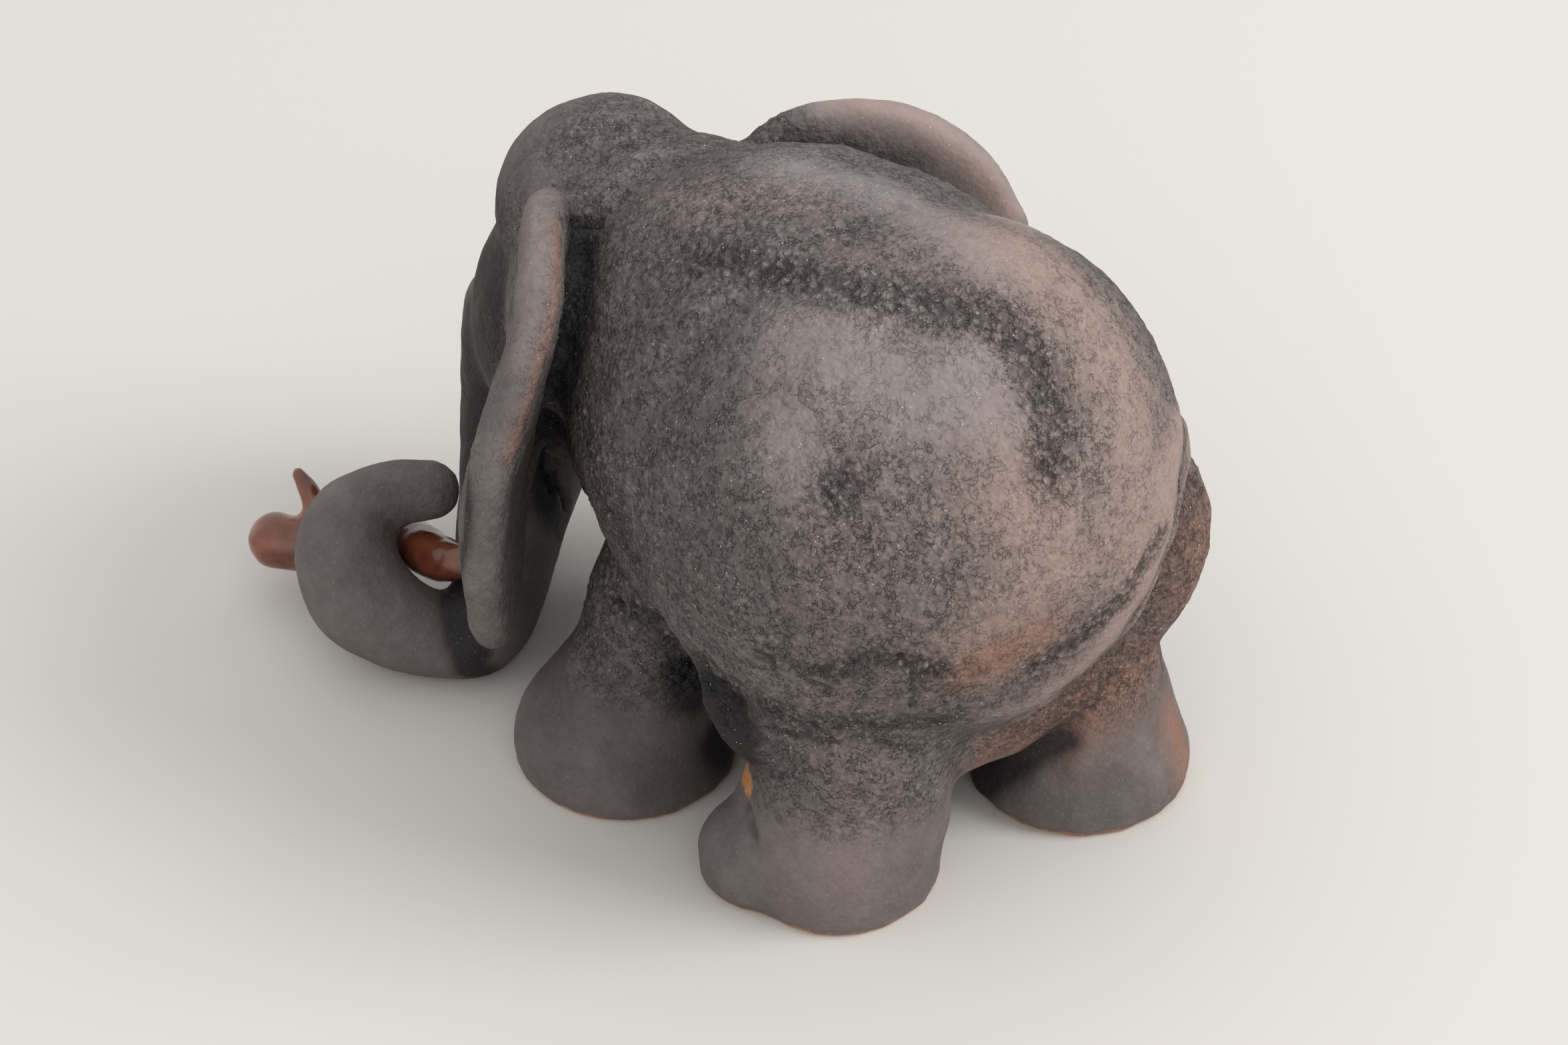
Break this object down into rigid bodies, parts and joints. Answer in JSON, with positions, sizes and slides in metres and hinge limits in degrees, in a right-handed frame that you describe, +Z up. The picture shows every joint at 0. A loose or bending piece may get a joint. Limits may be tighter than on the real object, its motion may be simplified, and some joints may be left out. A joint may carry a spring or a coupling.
{
  "type": "elephant figurine",
  "caption": "Small dark fired-clay elephant on stubby legs, its curled trunk holding a glossy red-brown sprig; a shelf ornament.",
  "frame": {"origin": "on the ground under the middle of the footprint's bounding box", "axes": "+Z is up; the elephant faces -Y, its rump is towards +Y and its left side, where the trunk curls, is +X"},
  "size_m": [0.0542, 0.07, 0.049],
  "materials": {
    "fired_clay": "unglazed dark grey-brown fired clay, matte and gritty, with fine pits and grains and smoother rubbed patches",
    "red_glaze": "glossy red-brown glaze with sharp highlights"
  },
  "bodies": {
    "root": {"elephant": "fired_clay", "trunk_sprig": "red_glaze"}
  },
  "joints": []
}
